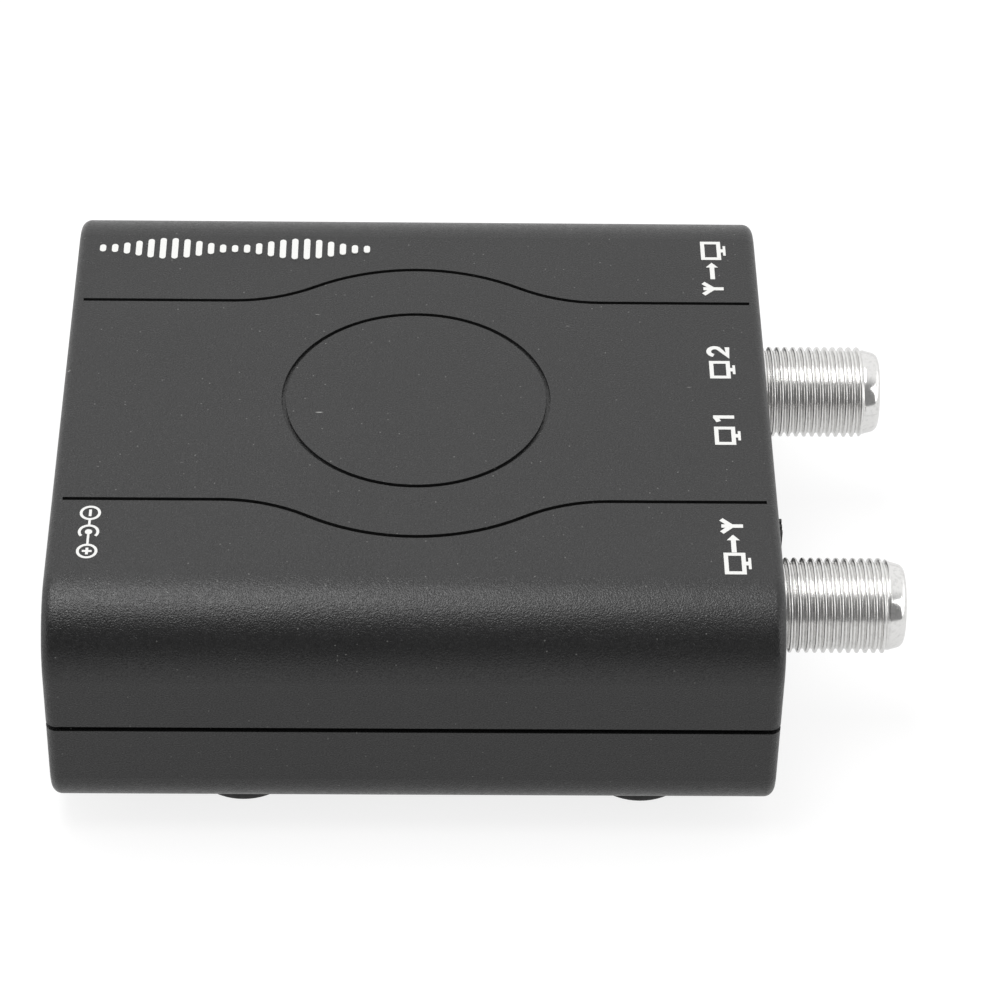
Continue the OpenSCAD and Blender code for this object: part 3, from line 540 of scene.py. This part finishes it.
def draw_arrow(marks, start, length, head=0.75):
    """An arrow along the reading line, its shaft ending inside its head."""
    tip = start + length
    overlap, half_w = head * 0.6, head * 0.8
    marks.stroke([(start, 0), (tip - overlap, 0)])
    marks.filled([(tip, 0), (tip - head, half_w), (tip - head, -half_w)])


def draw_aerial(marks, x, height=2.0):
    """A mast with two arms that meet just over its middle."""
    top = height / 2
    reach, fork = top * 0.9, top * 0.05
    marks.stroke([(x, -top), (x, top)])
    marks.stroke([(x - reach, top), (x, fork), (x + reach, top)])


FRAME_W = 0.4
STEM_W = 0.5
STEM_FROM, STEM_TO = 0.1, 0.5
FOOT_W = 0.26
FOOT_DOWN = 0.55
FOOT_SHARE = 0.6


def draw_screen(marks, x, width=2.5, height=1.6):
    """A screen on a foot, with a short stem between them."""
    w, h = width / 2, height / 2
    foot = w * FOOT_SHARE
    marks.stroke([(x - w, -h), (x + w, -h), (x + w, h), (x - w, h)], FRAME_W, closed=True)
    marks.stroke([(x, -h - STEM_FROM), (x, -h - STEM_TO)], STEM_W)
    marks.stroke([(x - foot, -h - FOOT_DOWN), (x + foot, -h - FOOT_DOWN)], FOOT_W)


def draw_numeral(marks, x, which, height=2.0):
    """The numeral 1 or 2."""
    h, w = height / 2, height * 0.3
    side = w * 1.1
    if which == 1:
        flag_top = h - 0.2
        marks.stroke([(x, h), (x, -h)])
        marks.stroke([(x - side, h * 0.5), (x, flag_top)])
    else:
        bow_drop, base_lift = 0.05, 0.16
        bow = circle((x, h - w - bow_drop), w, 12, 165, -200)
        marks.stroke(bow + [(x - w, -h + base_lift), (x + side, -h + base_lift)])


RING_AWAY = 2.6
RING_R = 0.85
RING_W = 0.26
SIGN_HALF = 0.45
CORE_R = 0.34
LEAD_W = 0.22
LEAD_OVERLAP = 0.04


def draw_polarity(marks):
    """Ring with a minus, the plug with its core, ring with a plus."""
    for x in (-RING_AWAY, RING_AWAY):
        marks.stroke(circle((x, 0), RING_R), RING_W, closed=True)
        marks.stroke([(x - SIGN_HALF, 0), (x + SIGN_HALF, 0)], RING_W)
    marks.stroke([(RING_AWAY, -SIGN_HALF), (RING_AWAY, SIGN_HALF)], RING_W)
    marks.stroke(circle((0, 0), RING_R, 20, 50, 260), RING_W)
    marks.filled(circle((0, 0), CORE_R, 16))
    marks.stroke([(-RING_AWAY + RING_R, 0), (-RING_R, 0)], LEAD_W)
    marks.stroke([(CORE_R - LEAD_OVERLAP, 0), (RING_AWAY - RING_R, 0)], LEAD_W)


# Reading directions over the top, each with the direction that is up for its signs
TO_RIGHT = ((1, 0), (0, 1))
TO_BACK = ((0, 1), (-1, 0))
TO_FRONT = ((0, -1), (1, 0))

SIGNS_X = 29.2 * MM
SOCKET_SIGNS_Y = 20.3 * MM
PLACE_SIGNS = ((5.4 * MM, 2), (-4.3 * MM, 1))
WAVE_PLACE = (-18.1 * MM, 22.7 * MM)
WAVE_LENGTH, WAVE_BARS = 26.8, 23
BAR_LOW, BAR_HIGH, BAR_W = 1.1, 3.3, 0.62
POWER_PLACE = (-29.9 * MM, -19.2 * MM)


def make_marks(ink):
    wave = Marks(WAVE_PLACE, *TO_RIGHT)
    draw_wave(wave, WAVE_LENGTH, WAVE_BARS, BAR_LOW, BAR_HIGH, BAR_W)
    wave.piece("mark_wave", ink)

    aerial_out = Marks((SIGNS_X, SOCKET_SIGNS_Y), *TO_BACK)
    draw_aerial(aerial_out, -3.4)
    draw_arrow(aerial_out, -1.9, 2.6)
    draw_screen(aerial_out, 2.6)
    aerial_out.piece("mark_aerial_out", ink)

    aerial_in = Marks((SIGNS_X, -SOCKET_SIGNS_Y), *TO_BACK)
    draw_aerial(aerial_in, 2.4)
    draw_arrow(aerial_in, -1.2, 2.4)
    draw_screen(aerial_in, -2.7)
    aerial_in.piece("mark_aerial_in", ink)

    for y, which in PLACE_SIGNS:
        place = Marks((SIGNS_X, y), *TO_BACK)
        draw_screen(place, -0.9, 2.2)
        draw_numeral(place, 1.8, which)
        place.piece("mark_place_%d" % which, ink)

    power = Marks(POWER_PLACE, *TO_FRONT)
    draw_polarity(power)
    power.piece("mark_power", ink)


# Floor, light and camera

FLOOR_HALF = 2.0
FLOOR_Z = -0.02 * MM
FLOOR_GREY = 0.22
FLOOR_GLOW = 0.82
FLOOR_GLOW_MIRRORED = 0.68


def make_floor():
    """Paper that glows white for the camera, and less so in a mirror, and keeps its shadow."""
    mesh = bpy.data.meshes.new("floor")
    h, z = FLOOR_HALF, FLOOR_Z
    mesh.from_pydata([(-h, -h, z), (h, -h, z), (h, h, z), (-h, h, z)], [], [(0, 1, 2, 3)])
    obj = bpy.data.objects.new("floor", mesh)
    bpy.context.scene.collection.objects.link(obj)
    s = Shader("floor_paper", grey(FLOOR_GREY), 0.9, specular=0.0)
    sight = s.tree.nodes.new("ShaderNodeLightPath").outputs
    mirrored = math_node(s.tree, "MAXIMUM", sight["Is Glossy Ray"], sight["Is Transmission Ray"])
    glow_mirrored = math_node(s.tree, "MULTIPLY", mirrored, FLOOR_GLOW_MIRRORED)
    s.give("Emission Color", grey(1))
    s.give("Emission Strength", math_node(s.tree, "MULTIPLY_ADD", sight["Is Camera Ray"],
                                          FLOOR_GLOW, glow_mirrored))
    mesh.materials.append(s.mat)


# Brightness of the surroundings by height, from the front horizon over the top to the back one
LIGHT_BY_HEIGHT = ((0, 0.27), (45, 0.27), (60, 0.35), (75, 0.8), (90, 1.06), (180, 1.07))
BRIGHTEST = 1.2

# Brightness to the left and right, which takes over between these two sizes of a direction's X
SIDES_LEVEL = 1.5
SIDES_FROM, SIDES_TO = 0.72, 0.92


def set_levels(stops):
    """Puts the levels of LIGHT_BY_HEIGHT into a colour ramp."""
    shares = [(degrees / 180, grey(level / BRIGHTEST)) for degrees, level in LIGHT_BY_HEIGHT]
    stops[0].color = (*shares[0][1], 1)
    stops[1].color = (*shares[-1][1], 1)
    for share, level in shares[1:-1]:
        stops.new(share).color = (*level, 1)


def make_world():
    """Surroundings that light the object by direction and that the camera sees as white."""
    world = bpy.data.worlds.new("studio")
    world.use_nodes = True
    bpy.context.scene.world = world
    tree = world.node_tree
    sky = tree.nodes["Background"].inputs
    feed(tree, sky["Color"], grey(1))
    parts = tree.nodes.new("ShaderNodeSeparateXYZ")
    where = tree.nodes.new("ShaderNodeTexCoord").outputs["Generated"]
    feed(tree, parts.inputs[0], where)
    forwards = math_node(tree, "MULTIPLY", parts.outputs["Y"], -1)
    height = math_node(tree, "ARCTAN2", parts.outputs["Z"], forwards)
    ramp = tree.nodes.new("ShaderNodeValToRGB")
    set_levels(ramp.color_ramp.elements)
    feed(tree, ramp.inputs[0], math_node(tree, "DIVIDE", height, math.pi))
    lit = math_node(tree, "MULTIPLY", ramp.outputs["Color"], BRIGHTEST)
    aside = tree.nodes.new("ShaderNodeMapRange")
    feed(tree, aside.inputs["Value"], math_node(tree, "ABSOLUTE", parts.outputs["X"]))
    feed(tree, aside.inputs["From Min"], SIDES_FROM)
    feed(tree, aside.inputs["From Max"], SIDES_TO)
    walls = blended(tree, aside.outputs[0], lit, SIDES_LEVEL)
    seen = tree.nodes.new("ShaderNodeLightPath").outputs["Is Camera Ray"]
    feed(tree, sky["Strength"], blended(tree, seen, walls, 1.0))


# Lamps: name, place and size in metres, power in watts
OVERHEAD_BOX = ("overhead_box", (-0.1, 0.0, 0.52), (0.34, 0.2), 1.28)
SIDE_BOX = ("side_box", (0.42, -0.25, 0.23), (0.2, 0.38), 0.45)


def make_softbox(name, place, size, power):
    """A rectangular lamp that faces the object."""
    lamp = bpy.data.lights.new(name, "AREA")
    lamp.shape = "RECTANGLE"
    lamp.size, lamp.size_y = size
    lamp.energy = power
    obj = bpy.data.objects.new(name, lamp)
    obj.location = place
    obj.rotation_euler = (-Vector(place)).to_track_quat("-Z", "Y").to_euler()
    bpy.context.scene.collection.objects.link(obj)


CAMERA_PLACE = (0.000736, -0.294278, 0.277062)
CAMERA_DOWN = math.radians(41.812)
CAMERA_TURN = math.radians(1.455)
CAMERA_ROLL = math.radians(-1.308)
CAMERA_LENS = 145.93
CAMERA_SENSOR = 36


def make_camera():
    """The camera of the photograph, aimed by its three angles."""
    data = bpy.data.cameras.new("camera")
    data.sensor_width = CAMERA_SENSOR
    data.lens = CAMERA_LENS
    obj = bpy.data.objects.new("camera", data)
    bpy.context.scene.collection.objects.link(obj)
    e, a, roll = CAMERA_DOWN, CAMERA_TURN, CAMERA_ROLL
    ahead = Vector((math.sin(a) * math.cos(e), math.cos(a) * math.cos(e), -math.sin(e)))
    right = Vector((math.cos(a), -math.sin(a), 0))
    down = ahead.cross(right)
    right_rolled = math.cos(roll) * right + math.sin(roll) * down
    down_rolled = -math.sin(roll) * right + math.cos(roll) * down
    axes = Matrix((right_rolled, -down_rolled, -ahead)).transposed()
    obj.matrix_world = Matrix.Translation(CAMERA_PLACE) @ axes.to_4x4()
    bpy.context.scene.camera = obj


make_camera()
make_world()
make_softbox(*OVERHEAD_BOX)
make_softbox(*SIDE_BOX)
make_floor()
bpy.context.scene.view_settings.view_transform = "Standard"
dress_cad_nodes(make_materials())
nickel_plate = socket_plate()
threaded_socket("rf_out_barrel_threaded", 1, RF_OUT_SHIFT, nickel_plate)
threaded_socket("rf_in_barrel_threaded", -1, RF_IN_SHIFT, nickel_plate)
make_marks(mark_ink())

bpy.context.view_layer.update()
